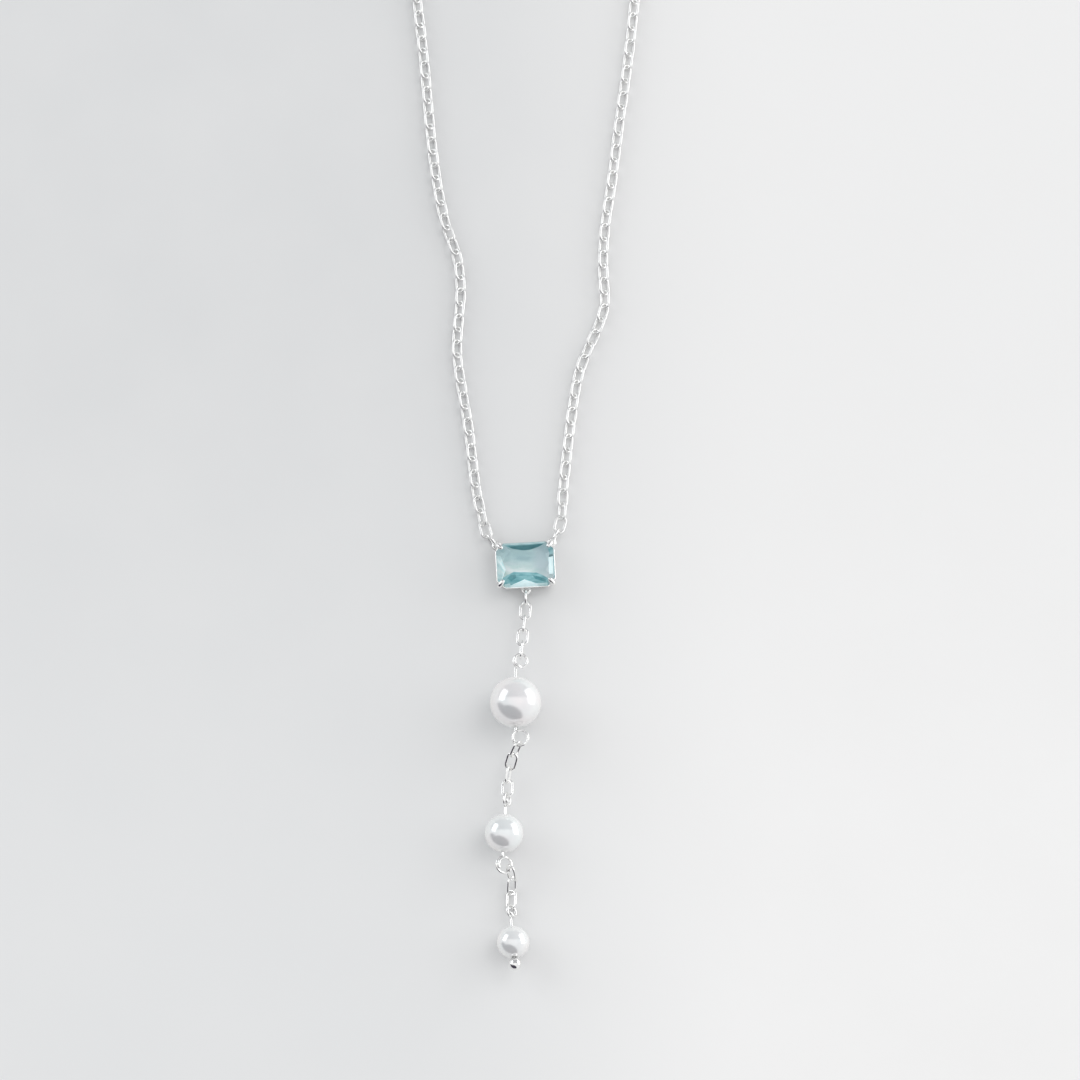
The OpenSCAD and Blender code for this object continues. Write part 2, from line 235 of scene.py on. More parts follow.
def own_axes(points, weight):
    """Middle of a shape and its directions, from the longest to the shortest."""
    middle = np.average(points, axis=0, weights=weight)
    apart = points - middle
    spread = (apart * weight[:, None]).T @ apart
    _, directions = np.linalg.eigh(spread)
    return middle, directions.T[::-1]


def loose_parts(node):
    """Middle and own axes of each separate link in a node."""
    points, area, part = surface(node)
    for number in sorted(set(part)):
        chosen = part == number
        yield own_axes(points[chosen], area[chosen])


# Silver wire pieces

def stadium(length, width, steps):
    """Middle line of a link: two half rounds and two straight sides, in its own plane."""
    bend = width / 2
    side = length / 2 - bend
    side_steps = 5
    turn = [math.pi * k / steps - math.pi / 2 for k in range(steps + 1)]
    right = [(side + bend * math.cos(t), bend * math.sin(t)) for t in turn]
    across = [(side * (1 - 2 * k / side_steps), bend) for k in range(1, side_steps)]
    left = [(-x, -y) for x, y in right]
    back = [(-x, -y) for x, y in across]
    return right + across + left + back


def add_link(shape, middle, axes, steps, sides):
    long, wide, normal = axes
    outline = stadium(LINK_LENGTH - LINK_WIRE, LINK_WIDTH - LINK_WIRE, steps)
    path = [middle + x * long + y * wide for x, y in outline]
    shape.wire(path, LINK_WIRE / 2, normal, closed=True, sides=sides)


def make_links(node, name, material, steps, sides):
    """Every link of a node, with so many steps round each bend and sides round its wire."""
    shape = Shape()
    for middle, axes in loose_parts(node):
        add_link(shape, middle, axes, steps, sides)
    shape.make(name, [material], node)


# Direction of each jump ring's cut from its middle, and half the cut's width
RING_CUTS = {
    "jump_ring_left": (0.6, 0.5, 0.8),
    "jump_ring_right": (-0.5, 0.6, 0.8),
    "jump_ring_drop": (0.2, 0.4, -1.0),
}
CUT_DEGREES = 3


def make_jump_ring(node, material):
    """A ring of wire, cut once."""
    cut_at = np.array(RING_CUTS[node])
    points, area, _ = surface(node)
    middle, (_, _, normal) = own_axes(points, area)
    radius = (RING_OUTER - RING_WIRE) / 2
    out = unit(cut_at - np.dot(cut_at, normal) * normal)
    side = np.cross(normal, out)
    steps = 60
    turn = [math.radians(CUT_DEGREES + (360 - 2 * CUT_DEGREES) * k / steps) for k in range(steps + 1)]
    path = [middle + radius * (math.cos(t) * out + math.sin(t) * side) for t in turn]
    shape = Shape()
    shape.wire(path, RING_WIRE / 2, normal, sides=16)
    shape.make(node + "_wire", [material], node)


# The part of a pin that is surely its straight stem, as a share of its pearl, and the part that is
# surely its eye: so far past the pearl, and so far off the stem's axis
STEM_SHARE = 0.4
EYE_PAST, EYE_OFF = 0.3, 0.65 * PIN_WIRE


def pearl_axis(pearl, pin):
    """Middle of a pearl and the direction of its pin, which points to the pin's upper eye."""
    low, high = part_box(pearl)
    middle = np.array((low + high) / 2) / MM
    points, area, _ = surface(pin)
    inside = np.linalg.norm(points - middle, axis=1) < STEM_SHARE * PEARL_SIZES[pearl]
    _, (along, _, _) = own_axes(points[inside], area[inside])
    return middle, along if along[1] > 0 else -along


def find_eye(pin, middle, along, size, side):
    """Middle and plane of the eye of a pin on one side of its pearl, as a circle through its wire."""
    points, area, _ = surface(pin)
    reach = side * (points - middle) @ along
    away = np.linalg.norm(np.cross(points - middle, along), axis=1)
    chosen = (reach > size / 2 + EYE_PAST) & (away > EYE_OFF)
    points, area = points[chosen], area[chosen]
    _, (across, beside, normal) = own_axes(points, area)
    origin = points.mean(axis=0)
    x, y = (points - origin) @ across, (points - origin) @ beside
    rows = np.c_[2 * x, 2 * y, np.ones_like(x)]
    weight = np.sqrt(area)
    fit = np.linalg.lstsq(rows * weight[:, None], (x * x + y * y) * weight, rcond=None)[0]
    centre = origin + fit[0] * across + fit[1] * beside
    return centre, normal if normal[2] > 0 else -normal


def eased(t):
    t = min(1.0, max(0.0, t))
    return t * t * (3 - 2 * t)


# Where an eye's wire starts to leave the eye's plane to pass over the stem, and the turn that it
# takes for it, in degrees, and how far in and up it then lies, in thicknesses of the wire
LIFT_START, LIFT_TURN = 290, 55
LIFT_IN, LIFT_UP = 0.4, 1.02


def eye_wire(middle, along, centre, normal, radius, side, over):
    """Path of a pin's wire from its stem round an eye, then over the stem and on by some degrees."""
    toward = side * along
    shift = centre - middle - np.dot(centre - middle, toward) * toward
    shift -= np.dot(shift, normal) * normal
    beside = unit(shift)
    forward = unit(toward - np.dot(toward, beside) * beside)
    enter = -math.degrees(math.acos(min(1.0, np.linalg.norm(shift) / radius)))
    total = 360 + over
    steps = 60
    path = []
    for k in range(steps + 1):
        turn = total * k / steps
        angle = math.radians(enter + turn)
        past = eased((turn - LIFT_START) / LIFT_TURN)
        out = -math.cos(angle) * beside + math.sin(angle) * forward
        place = (radius - LIFT_IN * PIN_WIRE * past) * out
        path.append(centre + place + LIFT_UP * PIN_WIRE * past * normal)
    return path


def make_pin(pin, material):
    """A pin's wire with its eyes, or with one eye and a ball."""
    pearl = PEARL_OF[pin]
    middle, along = pearl_axis(pearl, pin)
    size = PEARL_SIZES[pearl]
    ball = middle - along * (size / 2 + BALL_SIZE / 2 + BALL_GAP)
    shape = Shape()
    ends = []
    for side, (radius, over) in zip((1, -1), EYES[pin]):
        centre, normal = find_eye(pin, middle, along, size, side)
        ends.append(eye_wire(middle, along, centre, normal, radius, side, over))
    if len(ends) < 2:
        ends.append([ball])
        shape.turned(ball_profile(BALL_SIZE / 2), place_along(ball, along), sides=48)
    stem = [middle + along * size * t for t in (0.5, 0.3, 0.0, -0.3, -0.5)]
    path = smooth_path(ends[0][::-1] + stem + ends[1], 1)
    aside = (0.3, 0.2, 1)
    shape.wire(path, PIN_WIRE / 2, unit(np.cross(along, aside)), sides=14)
    shape.make(pin + "_wire", [material], pin)


def ball_profile(radius, steps=28):
    """Half a circle, from the ball's lowest point to its highest."""
    turn = [math.pi * k / steps for k in range(steps + 1)]
    return [(max(NEAR_AXIS, radius * math.sin(t)), -radius * math.cos(t)) for t in turn]


def place_along(point, along):
    """A matrix that puts the origin at a point and the local Z along a direction."""
    turn = Vector(along).to_track_quat("Z", "Y").to_matrix().to_4x4()
    return Matrix.Translation(Vector(point)) @ turn


# Pearls

# Points of the worn rim of a hole: out from the hole and up from the rim, in shares of PEARL_RIM
WORN_RIM = [(0.35, 0.02), (0.06, -0.25), (0, -0.8)]


def make_pearl(pearl, pin, material):
    """A round pearl with a drilled hole whose rim is a little worn."""
    middle, along = pearl_axis(pearl, pin)
    radius = PEARL_SIZES[pearl] / 2
    hole = PEARL_HOLE / 2
    open_at = math.asin((hole + PEARL_RIM) / radius)
    steps = 72
    turn = [open_at + (math.pi - 2 * open_at) * k / steps for k in range(steps + 1)]
    outside = [(radius * math.sin(t), -radius * math.cos(t)) for t in turn]
    rim_height = radius * math.cos(open_at)
    worn = [(hole + PEARL_RIM * out, rim_height + PEARL_RIM * up) for out, up in WORN_RIM]
    profile = [(r, -h) for r, h in reversed(worn)] + outside + worn
    shape = Shape()
    shape.turned(profile + profile[:1], place_along(middle, along), sides=112)
    shape.make(pearl + "_nacre", [material], pearl)


# The setting, in millimetres

FRAME_LENGTH, FRAME_WIDTH = STONE_LENGTH - 0.6, STONE_WIDTH - 0.4
FRAME_WALL, FRAME_LOW, FRAME_HIGH, FRAME_ROUND = 0.6, 0.0, 1.8, 0.14
RAIL_LENGTH, RAIL_WIDTH = STONE_LENGTH + 0.3, STONE_WIDTH + 0.3
RAIL_WALL, RAIL_LOW, RAIL_HIGH, RAIL_ROUND = 0.45, 2.1, 2.5, 0.12
# A bar's cut corner gets shorter by this share of the inset
CORNER_SHARE = 0.6
# How far a claw's foot lies in from the stone's length and width, how far its bend lies out from the
# middle of the stone's cut corner, their heights, and how far the tip reaches in and up from the bend
FOOT_IN, FOOT_HEIGHT = 0.75, 0.4
BEND_OUT, BEND_HEIGHT = 0.354, 3.25
TIP_REACH = 0.6
# Place along a claw, from 0 at its foot to 1 at its tip, and the wire's radius there
CLAW_TAPER = [(0, 0.38), (0.55, 0.38), (0.8, 0.37), (1, 0.30)]
LOOP_RADIUS, LOOP_WIRE, LOOP_HEIGHT = 0.55, 0.4, RING_OUTER / 2
# Distance of the strands' loops from their claws, and the direction for each side, in degrees
LOOP_STAND = 0.7
LOOP_ANGLES = {-1: 129, 1: 59}
DROP_LOOP = (-0.1, -FRAME_WIDTH / 2 - 0.5, LOOP_HEIGHT)


def oblong(length, width, corner, z, rounding=0.25, steps=3):
    """An oblong with cut corners, and each of its eight bends rounded."""
    x, y = length / 2, width / 2
    bends = [np.array(p) for p in (
        (x, y - corner), (x - corner, y), (corner - x, y), (-x, y - corner),
        (-x, corner - y), (corner - x, -y), (x - corner, -y), (x, corner - y))]
    outline = []
    for i, p in enumerate(bends):
        before, after = unit(bends[i - 1] - p), unit(bends[(i + 1) % 8] - p)
        for k in range(steps + 1):
            t = k / max(1, steps)
            q = p + rounding * ((1 - t) ** 2 * before + t ** 2 * after)
            outline.append((q[0], q[1], z))
    return outline


def rounded_box(wall, low, high, bevel, steps=4):
    """Section of a bar as (inset, height) pairs: a box with rounded edges."""
    centres = [(bevel, low + bevel, 180), (wall - bevel, low + bevel, 270),
               (wall - bevel, high - bevel, 0), (bevel, high - bevel, 90)]
    section = []
    for x, z, start in centres:
        for k in range(steps + 1):
            t = math.radians(start + 90 * k / steps)
            section.append((x + bevel * math.cos(t), z + bevel * math.sin(t)))
    return section


def add_bar(shape, length, width, corner, section, place):
    """A closed bar along an oblong: each point of its section is inset from the outline."""
    rings = [
        oblong(length - 2 * inset, width - 2 * inset, corner - CORNER_SHARE * inset, z)
        for inset, z in section
    ]
    across = len(section)
    around = len(rings[0])
    points = [place @ Vector(rings[i][k]) for k in range(around) for i in range(across)]
    faces = [
        (k * across + i, k * across + (i + 1) % across,
         (k + 1) % around * across + (i + 1) % across, (k + 1) % around * across + i)
        for k in range(around) for i in range(across)
    ]
    shape.add(points, faces)


def stone_place():
    """The matrix of the stone's and setting's own frame, with its origin on the surface."""
    low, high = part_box("stone")
    middle = (low + high) / 2 / MM
    return Matrix.Translation((middle.x, middle.y, 0)) @ Matrix.Rotation(STONE_TURN, 4, "Z")


def make_setting(material):
    """Lower frame, rail under the girdle, four claws and three loops, soldered into one piece."""
    place = stone_place()
    shape = Shape()
    frame_section = rounded_box(FRAME_WALL, FRAME_LOW, FRAME_HIGH, FRAME_ROUND)
    add_bar(shape, FRAME_LENGTH, FRAME_WIDTH, STONE_CORNER, frame_section, place)
    rail_section = rounded_box(RAIL_WALL, RAIL_LOW, RAIL_HIGH, RAIL_ROUND)
    add_bar(shape, RAIL_LENGTH, RAIL_WIDTH, STONE_CORNER, rail_section, place)
    foot = np.array((STONE_LENGTH / 2 - FOOT_IN, STONE_WIDTH / 2 - FOOT_IN, FOOT_HEIGHT))
    bend_x = (STONE_LENGTH - STONE_CORNER) / 2 + BEND_OUT
    bend_y = (STONE_WIDTH - STONE_CORNER) / 2 + BEND_OUT
    bend = np.array((bend_x, bend_y, BEND_HEIGHT))
    add_claws(shape, place, foot, bend)
    add_loops(shape, place, foot, bend)
    shape.make("setting_wrought", [material], "setting")


def add_claws(shape, place, foot, bend):
    """Four claws, each up from its foot, round its bend and in over the stone's corner."""
    tip = bend + (-TIP_REACH, -TIP_REACH, TIP_REACH)
    below_bend, above_bend = bend + (0, 0, -0.2), bend + (-0.05, -0.05, 0.25)
    path = smooth_path([foot, 0.5 * (foot + bend), below_bend, above_bend, tip], 3)
    radii = np.interp(np.linspace(0, 1, len(path)), *zip(*CLAW_TAPER))
    aside = (0, 0.3, 1)
    for sx in (1, -1):
        for sy in (1, -1):
            claw = [place @ Vector((sx * p[0], sy * p[1], p[2])) for p in path]
            shape.wire(claw, radii, aside, sides=20)


def loop_middles(foot, bend):
    """Middles of the three small loops that hold the jump rings, in the setting's own frame."""
    rise = (LOOP_HEIGHT - foot[2]) / (bend[2] - foot[2])
    at = foot + rise * (bend - foot)
    middles = [(side * at[0] + LOOP_STAND * math.cos(math.radians(angle)),
                at[1] + LOOP_STAND * math.sin(math.radians(angle)), LOOP_HEIGHT)
               for side, angle in LOOP_ANGLES.items()]
    return middles + [DROP_LOOP]


def add_loops(shape, place, foot, bend):
    """The small rings that lie level beside the claws and below the stone."""
    for middle in loop_middles(foot, bend):
        ring = [
            place @ (Vector(middle) + LOOP_RADIUS * Vector((math.cos(t), math.sin(t), 0)))
            for t in round_turn(28)
        ]
        shape.wire(ring, LOOP_WIRE / 2, (0, 0, 1), closed=True, sides=14)


# The clasp

BARREL_LENGTH, BARREL_RADIUS, BARREL_EYE = 6.0, 0.75, 0.83
# What lies so far past the barrel's end is surely its eye
CLASP_EYE_PAST = 0.25
# Depth of the barrel's turning below its radius, and the distance from its end
BARREL_TURNING = [(0.15, 0), (0.04, 0.05), (0, 0.16), (0, 0.5), (0.09, 0.56), (0.09, 0.66), (0, 0.72),
                  (0, 0.9), (0.06, 0.95), (0.06, BARREL_LENGTH / 2)]


def make_clasp(material):
    """A plain barrel, turned with a groove and a shoulder near each end, and an eye of wire beyond."""
    points, area, _ = surface("clasp")
    low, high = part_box("clasp")
    middle = np.array((low + high) / 2) / MM
    half = BARREL_LENGTH / 2
    profile = [(NEAR_AXIS, -half)] + [(BARREL_RADIUS - deep, far - half) for deep, far in BARREL_TURNING]
    profile += [(r, -z) for r, z in reversed(profile[:-1])]
    shape = Shape()
    shape.turned(profile, place_along(middle, (1, 0, 0)), sides=48)
    for side in (-1, 1):
        beyond = side * (points[:, 0] - middle[0]) > half + CLASP_EYE_PAST
        _, (_, _, normal) = own_axes(points[beyond], area[beyond])
        centre = middle + np.array((side * (half + BARREL_EYE - LINK_WIRE / 2), 0, 0))
        out = unit(np.array((side, 0, 0)) - side * normal[0] * normal)
        across = np.cross(normal, out)
        ring = [
            centre + BARREL_EYE * (math.cos(t) * out + math.sin(t) * across)
            for t in round_turn(32)
        ]
        shape.wire(ring, LINK_WIRE / 2, normal, closed=True, sides=14)
    shape.make("clasp_turned", [material], "clasp")


# The stone: the facets of its crown as the frame has them, over a pavilion whose facets are cut up
# by patches of painted light, shade and reflection, which stand for what such a stone shows in its depth

# Tones of the stone's patches of painted light, shade and reflection, in the order of their materials
# after the crown
STONE_PAINTED_TONES = ["table", "teal", "shade", "deep", "pale", "bright"]

# Each patch of painted light, shade or reflection has its tone and its corners in the stone's own
# plan, and covers the ones before it
STONE_PAINTED_PATCHES = [
    ("pale", [(-3.3, 3.5), (3.3, 3.5), (3.0, 3.3), (-3.0, 3.27)]),
    ("teal", [(-3.2, 3.27), (3.2, 3.3), (2.2, 2.85), (0.75, 2.5), (-0.4, 2.5), (-1.9, 2.74)]),
    ("deep", [(-2.6, 3.1), (-1.0, 3.15), (1.2, 3.17), (3.0, 3.22), (2.2, 2.87), (0.75, 2.52), (-0.4, 2.52),
              (-1.9, 2.78)]),
    ("teal", [(-3.75, -1.9), (-2.7, -1.2), (-1.87, -0.7), (-0.1, -0.78), (1.65, -1.0), (2.5, -1.5),
              (3.3, -2.15), (3.5, -3.3), (3.3, -3.5), (-3.3, -3.5)]),
    ("shade", [(-3.0, -1.9), (-2.4, -1.25), (-1.6, -1.2), (-1.55, -1.7), (-2.3, -2.3)]),
    ("shade", [(1.0, -1.35), (2.0, -1.75), (3.1, -2.35), (3.0, -2.8), (1.5, -2.15)]),
    ("pale", [(-3.4, -2.9), (-2.6, -2.75), (-2.3, -3.5), (-3.3, -3.5)]),
    ("pale", [(1.75, -2.95), (3.3, -2.95), (3.3, -3.5), (1.6, -3.5)]),
    ("bright", [(-0.25, -2.05), (-2.6, -3.2), (-2.4, -3.5), (1.7, -3.5), (1.85, -3.05)]),
    ("pale", [(-4.5, 1.7), (-3.8, 1.6), (-3.15, -0.3), (-3.7, -1.6), (-3.9, -2.9), (-4.5, -2.3)]),
    ("bright", [(-4.4, 1.2), (-4.2, 1.2), (-3.15, -0.4), (-3.3, -0.7), (-3.5, -0.35), (-4.3, 0.85)]),
    ("bright", [(-3.42, -0.8), (-3.3, -0.75), (-3.7, -2.0), (-3.85, -2.1)]),
    ("teal", [(3.6, 2.4), (4.2, 2.6), (4.5, 2.3), (4.5, 1.1), (3.7, 1.1), (3.85, 1.8)]),
    ("deep", [(3.75, 1.5), (4.35, 1.5), (4.4, 1.1), (3.72, 1.1)]),
    ("bright", [(3.68, 1.14), (4.36, 1.14), (4.3, -1.55), (3.6, -1.55)]),
    ("teal", [(4.36, 1.14), (4.5, 1.14), (4.5, -2.3), (4.3, -2.2)]),
]


def stone_facets(turn, shift):
    """Triangles of the CAD stone in its own frame, with their normals: the pavilion's and the others."""
    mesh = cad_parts["stone"].data
    mesh.calc_loop_triangles()
    points = [turn.T @ (np.array(v.co) / MM - shift) for v in mesh.vertices]
    no_area, steep, near_girdle = 1e-7, -0.05, GIRDLE_BOTTOM + 0.01
    pavilion, others = [], []
    for triangle in mesh.loop_triangles:
        a, b, c = (points[i] for i in triangle.vertices)
        normal = np.cross(b - a, c - a)
        if np.linalg.norm(normal) < no_area:
            continue
        normal = unit(normal)
        below = normal[2] < steep and max(a[2], b[2], c[2]) < near_girdle
        (pavilion if below else others).append((a, b, c, normal))
    return pavilion, others


def cut_plan(pavilion, patches):
    """The pavilion's facets seen from above, cut along the painted patches: points, faces and each face's
    painted tone.
    """
    plan, edges, faces = [], [], []
    for a, b, c, _ in pavilion:
        start = len(plan)
        plan += [Vector((p[0], p[1])) for p in (a, b, c)]
        edges += [(start, start + 1), (start + 1, start + 2), (start + 2, start)]
    for _, patch in patches:
        start = len(plan)
        turning = sum(a[0] * b[1] - b[0] * a[1] for a, b in zip(patch, patch[1:] + patch[:1]))
        plan += [Vector(p) for p in (patch if turning > 0 else reversed(patch))]
        faces.append(list(range(start, start + len(patch))))
    triangles_inside, merged_within = 1, 1e-4
    found = delaunay_2d_cdt(plan, edges, faces, triangles_inside, merged_within)
    flat, cut, owners = found[0], found[2], found[5]
    return flat, [(face, patches[max(whose)][0]) for face, whose in zip(cut, owners) if whose]


def make_stone(crown, tones):
    """The stone with its clear crown, and its pavilion in patches of painted light, shade and reflection.
    """
    place = np.array(stone_place())
    turn, shift = place[:3, :3], place[:3, 3]
    pavilion, others = stone_facets(turn, shift)
    shape = Shape()
    for a, b, c, _ in others:
        shape.add([turn @ p + shift for p in (a, b, c)], [(0, 1, 2)], 0)
    planes = [(normal, np.dot(normal, a)) for a, _, _, normal in pavilion]

    def depth(x, y):
        return max((d - n[0] * x - n[1] * y) / n[2] for n, d in planes)

    outline = [(x, y) for x, y, _ in oblong(STONE_LENGTH, STONE_WIDTH, STONE_CORNER, 0, 0, 0)]
    flat, cut = cut_plan(pavilion, [("table", outline)] + STONE_PAINTED_PATCHES)
    deep = [turn @ np.array((p[0], p[1], depth(p[0], p[1]))) + shift for p in flat]
    for face, tone in cut:
        layer = 1 + STONE_PAINTED_TONES.index(tone)
        shape.add([deep[i] for i in face], [tuple(range(len(face)))], layer)
    shape.make("stone_cut", [crown] + tones, "stone", smooth=False)


# Materials

SILVER_CLEAR, SILVER_DULL = (0.97, 0.965, 0.95, 1), (0.93, 0.93, 0.92, 1)
# Nacre's own tone and a lighter one at its edge as seen, which is a painted sheen, and its faint rose and
# green play
NACRE_FACE, NACRE_PAINTED_SHEEN = (0.89, 0.885, 0.905, 1), (0.96, 0.96, 0.945, 1)
NACRE_ROSE, NACRE_GREEN = (0.99, 0.96, 0.95, 1), (0.94, 0.98, 0.97, 1)
CROWN_TINT = (0.93, 0.985, 0.985, 1)
# How the stone's painted broken reflections run: their fineness along X, Y and Z
PAINTED_REFLECTION_STREAKS = (0.45, 1.2, 1)
# Painted reflections under the table: a clear blue, a paler one and a grey
TABLE_CLEAR = (0.40, 0.505, 0.515, 1), (0.26, 0.365, 0.40, 1)
TABLE_PALE_REFLECTION = (0.40, 0.51, 0.485, 1), (0.67, 0.645, 0.655, 1)
TABLE_GREY_REFLECTION = (0.42, 0.47, 0.505, 1)
# Each facet material runs between two colours of painted reflection, and gives back this much painted glow
PAINTED_FACETS = [
    ("aqua_teal", (0.12, 0.30, 0.335, 1), (0.31, 0.51, 0.54, 1), 0.5),
    ("aqua_shade", (0.06, 0.19, 0.22, 1), (0.13, 0.31, 0.34, 1), 0.5),
    ("aqua_deep", (0.025, 0.115, 0.135, 1), (0.06, 0.19, 0.215, 1), 0.5),
    ("aqua_pale", (0.46, 0.60, 0.615, 1), (0.70, 0.77, 0.775, 1), 0.5),
    ("aqua_bright", (0.70, 0.81, 0.83, 1), (0.82, 0.89, 0.90, 1), 0.58),
]
# The floor's tones to the left and right, by the stone and by the end of the drop, lighter to the right
# and towards the drop as painted light, and its mottling
FLOOR_UPPER = (0.682, 0.687, 0.693, 1), (0.822, 0.819, 0.818, 1)
FLOOR_LOWER = (0.752, 0.757, 0.762, 1), (0.87, 0.865, 0.862, 1)
FLOOR_MOTTLE = (0.80, 0.795, 0.79, 1)


def new_material(name):
    material = bpy.data.materials.new(name)
    material.use_nodes = True
    nodes = material.node_tree.nodes
    nodes.clear()
    output = nodes.new("ShaderNodeOutputMaterial")
    return material, nodes, material.node_tree.links, output


def noise(nodes, links, scale, detail=2.0, low=0.0, high=1.0, stretch=(1, 1, 1)):
    """Object-space noise spread between two values, finer along an axis whose stretch is larger."""
    where = nodes.new("ShaderNodeTexCoord")
    mapping = nodes.new("ShaderNodeMapping")
    mapping.inputs["Scale"].default_value = stretch
    texture = nodes.new("ShaderNodeTexNoise")
    texture.inputs["Scale"].default_value = scale
    texture.inputs["Detail"].default_value = detail
    links.new(where.outputs["Object"], mapping.inputs["Vector"])
    links.new(mapping.outputs["Vector"], texture.inputs["Vector"])
    spread = nodes.new("ShaderNodeMapRange")
    spread.inputs["From Min"].default_value = 0.3
    spread.inputs["From Max"].default_value = 0.7
    spread.inputs["To Min"].default_value = low
    spread.inputs["To Max"].default_value = high
    links.new(texture.outputs["Fac"], spread.inputs["Value"])
    return spread.outputs["Result"]


# Places of a colour mix's sockets
MIX_FACTOR, MIX_FIRST, MIX_SECOND, MIX_RESULT = 0, 6, 7, 2


def mixed(nodes, links, factor, first, second, way="MIX"):
    """A mix of two colours, each of them, like the factor, a value or another node's output."""
    mix = nodes.new("ShaderNodeMix")
    mix.data_type = "RGBA"
    mix.blend_type = way
    for socket, value in ((MIX_FACTOR, factor), (MIX_FIRST, first), (MIX_SECOND, second)):
        if hasattr(value, "is_output"):
            links.new(value, mix.inputs[socket])
        else:
            mix.inputs[socket].default_value = value
    return mix.outputs[MIX_RESULT]


def bumped(nodes, links, scale, strength, distance):
    """A normal disturbed by noise, for a depth in metres."""
    bump = nodes.new("ShaderNodeBump")
    bump.inputs["Strength"].default_value = strength
    bump.inputs["Distance"].default_value = distance
    links.new(noise(nodes, links, scale, detail=3.0), bump.inputs["Height"])
    return bump.outputs["Normal"]


def silver(name, roughness, bump):
    """Polished silver with fine handling marks: its roughness varies by 30 percent either way."""
    material, nodes, links, output = new_material(name)
    shader = nodes.new("ShaderNodeBsdfPrincipled")
    shader.inputs["Metallic"].default_value = 1.0
    colour = mixed(nodes, links, noise(nodes, links, scale=900), SILVER_CLEAR, SILVER_DULL)
    marks = noise(nodes, links, scale=2500, low=0.7 * roughness, high=1.3 * roughness)
    links.new(colour, shader.inputs["Base Color"])
    links.new(marks, shader.inputs["Roughness"])
    links.new(bumped(nodes, links, 1800, bump, 0.00002), shader.inputs["Normal"])
    links.new(shader.outputs["BSDF"], output.inputs["Surface"])
    return material


def nacre(name):
    """White nacre: a painted sheen makes it lighter towards its edge as seen, with a faint rose and green
    play and a soft coat.
    """
    material, nodes, links, output = new_material(name)
    shader = nodes.new("ShaderNodeBsdfPrincipled")
    facing = nodes.new("ShaderNodeLayerWeight")
    facing.inputs["Blend"].default_value = 0.35
    # Painted sheen: lighter where the surface turns away from the view
    body = mixed(nodes, links, facing.outputs["Facing"], NACRE_FACE, NACRE_PAINTED_SHEEN)
    play = mixed(nodes, links, noise(nodes, links, scale=260), NACRE_ROSE, NACRE_GREEN)
    links.new(mixed(nodes, links, 1.0, body, play, way="MULTIPLY"), shader.inputs["Base Color"])
    shader.inputs["Metallic"].default_value = 0.4
    shader.inputs["Roughness"].default_value = 0.18
    shader.inputs["Coat Weight"].default_value = 0.6
    shader.inputs["Coat Roughness"].default_value = 0.08
    links.new(bumped(nodes, links, 420, 0.12, 0.00003), shader.inputs["Normal"])
    links.new(shader.outputs["BSDF"], output.inputs["Surface"])
    return material


def glass(name, colour):
    """Clear polished surface: light goes straight through it, tinted, and some is reflected."""
    material, nodes, links, output = new_material(name)
    through = nodes.new("ShaderNodeBsdfTransparent")
    darker = tuple(0.97 * c for c in colour[:3]) + (1,)
    links.new(mixed(nodes, links, noise(nodes, links, scale=300), colour, darker), through.inputs["Color"])
    gloss = nodes.new("ShaderNodeBsdfGlossy")
    gloss.inputs["Roughness"].default_value = 0.03
    fresnel = nodes.new("ShaderNodeFresnel")
    fresnel.inputs["IOR"].default_value = 1.58
    mix = nodes.new("ShaderNodeMixShader")
    links.new(fresnel.outputs["Fac"], mix.inputs[0])
    links.new(through.outputs["BSDF"], mix.inputs[1])
    links.new(gloss.outputs["BSDF"], mix.inputs[2])
    links.new(mix.outputs["Shader"], output.inputs["Surface"])
    return material


def ramp(nodes, links, axis, start, end):
    """From 0 to 1 between two places along an axis of the object's space."""
    where = nodes.new("ShaderNodeTexCoord")
    apart = nodes.new("ShaderNodeSeparateXYZ")
    links.new(where.outputs["Object"], apart.inputs[0])
    spread = nodes.new("ShaderNodeMapRange")
    spread.interpolation_type = "SMOOTHSTEP"
    spread.inputs["From Min"].default_value = start
    spread.inputs["From Max"].default_value = end
    links.new(apart.outputs[axis], spread.inputs["Value"])
    return spread.outputs["Result"]


def painted_glow(nodes, links, colour, output, glow=0.5):
    """Painted glow: emission for the light that comes back out of the stone's depth."""
    shader = nodes.new("ShaderNodeBsdfPrincipled")
    links.new(colour, shader.inputs["Base Color"])
    links.new(colour, shader.inputs["Emission Color"])
    shader.inputs["Emission Strength"].default_value = glow
    shader.inputs["Roughness"].default_value = 0.3
    shader.inputs["IOR"].default_value = 1.45
    links.new(shader.outputs["BSDF"], output.inputs["Surface"])


def facet(name, colour, other, glow):
    """Facets seen in the stone's depth, broken up by painted reflections of other ones, with a painted
    glow.
    """
    material, nodes, links, output = new_material(name)
    run = mixed(nodes, links, noise(nodes, links, scale=1250, stretch=PAINTED_REFLECTION_STREAKS), colour, other)
    painted_glow(nodes, links, run, output, glow)
    return material


def facet_field(name, middle):
    """The wide facets under the table, painted with reflections and a glow: clear blue above, a paler
    reflection below and a grey to the right, in patches.
    """
    material, nodes, links, output = new_material(name)
    clear = mixed(nodes, links, noise(nodes, links, scale=700, stretch=PAINTED_REFLECTION_STREAKS), *TABLE_CLEAR)
    pale_reflection = mixed(nodes, links, noise(nodes, links, scale=900, stretch=PAINTED_REFLECTION_STREAKS), *TABLE_PALE_REFLECTION)
    down = ramp(nodes, links, "Y", (middle.y + 1.8) * MM, (middle.y - 1.0) * MM)
    right = ramp(nodes, links, "X", (middle.x + 0.2) * MM, (middle.x + 2.4) * MM)
    painted_reflections = mixed(nodes, links, down, clear, pale_reflection)
    grey = mixed(nodes, links, right, painted_reflections, TABLE_GREY_REFLECTION)
    reflection_patches = noise(nodes, links, scale=260, detail=1.0, low=0.2, high=0.9)
    painted_glow(nodes, links, mixed(nodes, links, reflection_patches, painted_reflections, grey), output)
    return material


